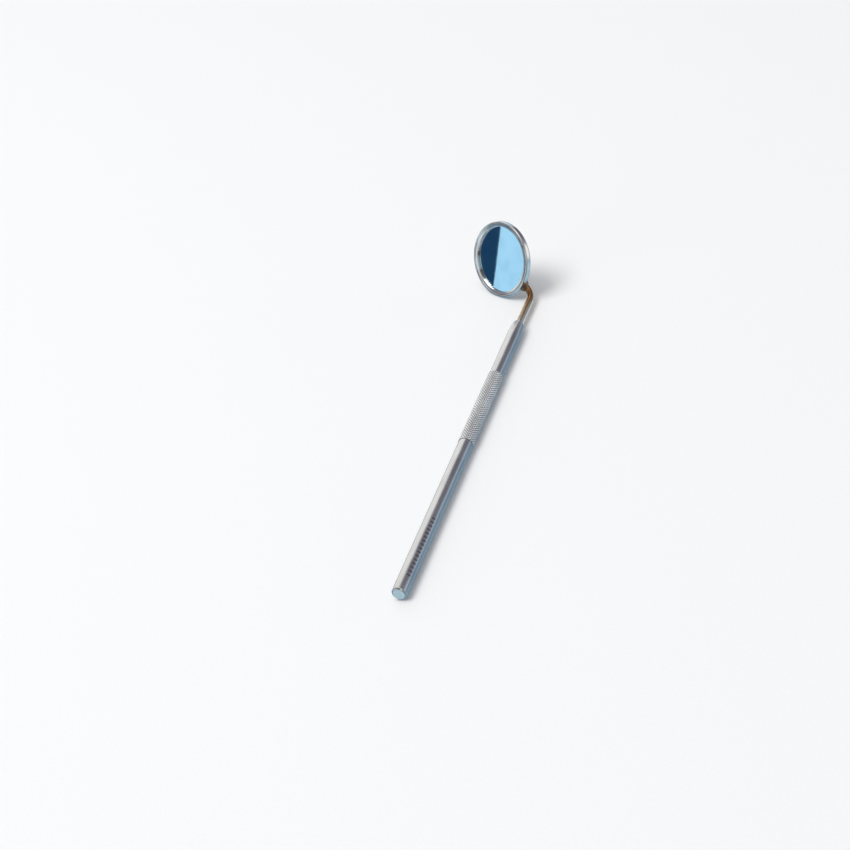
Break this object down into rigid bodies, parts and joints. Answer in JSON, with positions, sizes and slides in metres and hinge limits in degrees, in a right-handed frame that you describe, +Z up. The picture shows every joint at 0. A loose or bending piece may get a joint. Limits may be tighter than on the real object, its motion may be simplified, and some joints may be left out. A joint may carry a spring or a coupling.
{
  "type": "mouth mirror",
  "caption": "Dental mouth mirror: round glass mirror in a rimmed steel cup on a bent stem that screws into a slim straight handle with a knurled grip band.",
  "frame": {"origin": "centre of the bounding box on the surface that the mirror lies on", "axes": "+X along the handle from its rear end to the mirror head, +Z up from the surface, +Y towards the side the head leans to"},
  "size_m": [0.1536, 0.0234, 0.0226],
  "materials": {
    "handle_steel": "satin turned stainless steel",
    "knurl_steel": "diamond-knurled stainless steel, matte",
    "stem_steel": "polished stainless rod with a golden heat tint",
    "cup_steel": "pressed and polished stainless steel",
    "braze_metal": "silver brazing alloy with a golden tint",
    "seal_rubber": "black nitrile rubber",
    "glass": "clear polished glass",
    "silvering": "silvered mirror layer",
    "paint": "grey protective mirror paint",
    "packing": "pale packing card",
    "cement": "cured sealing cement"
  },
  "bodies": {
    "handle": {"rear_barrel": "handle_steel", "end_plug": "handle_steel", "knurled_grip": "knurl_steel", "front_barrel": "handle_steel"},
    "nose_seal": {"seal_ring": "seal_rubber"},
    "head": {"stem": "stem_steel", "braze_fillet": "braze_metal", "mirror_cup": "cup_steel", "backing_disc": "packing", "backing_paint": "paint", "silver_film": "silvering", "mirror_glass": "glass", "edge_seal": "cement", "retaining_ring": "cup_steel"}
  },
  "joints": [
    {"name": "head_turn", "type": "hinge", "parent": "handle", "child": "nose_seal", "pos_m": [0.04467, -0.0094, 0.0023], "axis": [1, 0, 0], "range_deg": [0, 3240]},
    {"name": "head_travel", "type": "slide", "parent": "nose_seal", "child": "head", "axis": [1, 0, 0], "range_m": [0, 0.00415]}
  ],
  "couplings": [
    {"joint": "head_travel", "follows": "head_turn", "m_per_rad": 0.00007162}
  ]
}
